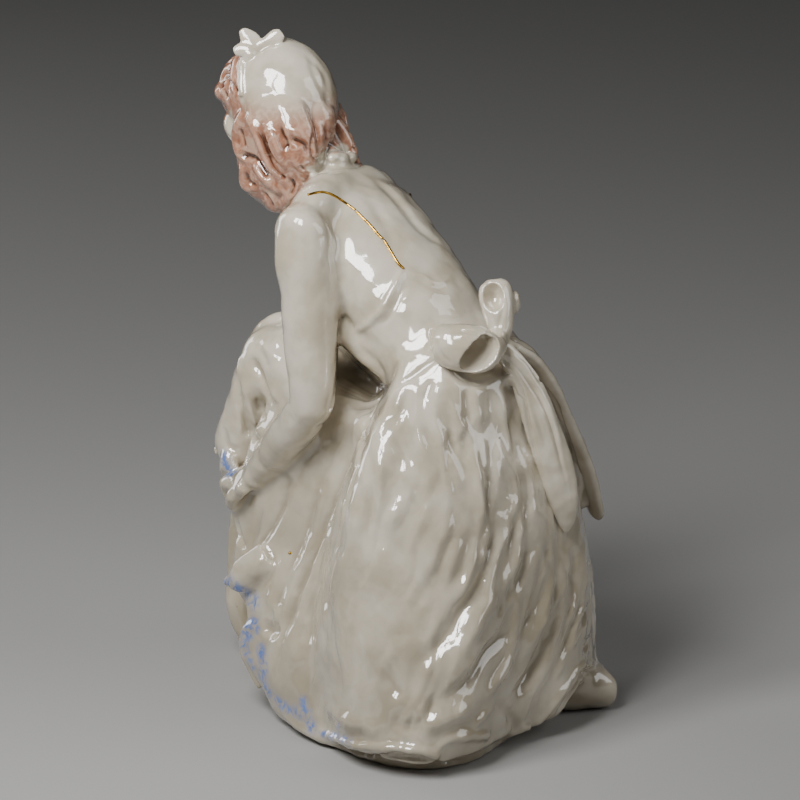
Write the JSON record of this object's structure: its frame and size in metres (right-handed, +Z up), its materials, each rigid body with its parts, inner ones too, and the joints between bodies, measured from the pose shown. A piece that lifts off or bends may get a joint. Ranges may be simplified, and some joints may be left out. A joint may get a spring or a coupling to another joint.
{
  "type": "porcelain ballerina figurine",
  "caption": "Glazed porcelain figurine of a kneeling ballerina in a long gathered skirt, bent over her raised knee, with a sash bow and a low base.",
  "frame": {"origin": "centre of the bounding box on the ground that the base stands on", "axes": "+Z up, the dancer faces -Y, her left is +X"},
  "size_m": [0.1393, 0.1789, 0.2682],
  "materials": {
    "glazed_porcelain": "warm white glazed porcelain, hair stained soft brown, hem touched with cobalt blue",
    "gilding": "bright fired gold line on the shoulder straps"
  },
  "bodies": {
    "root": {"ballerina": "glazed_porcelain"}
  },
  "joints": []
}
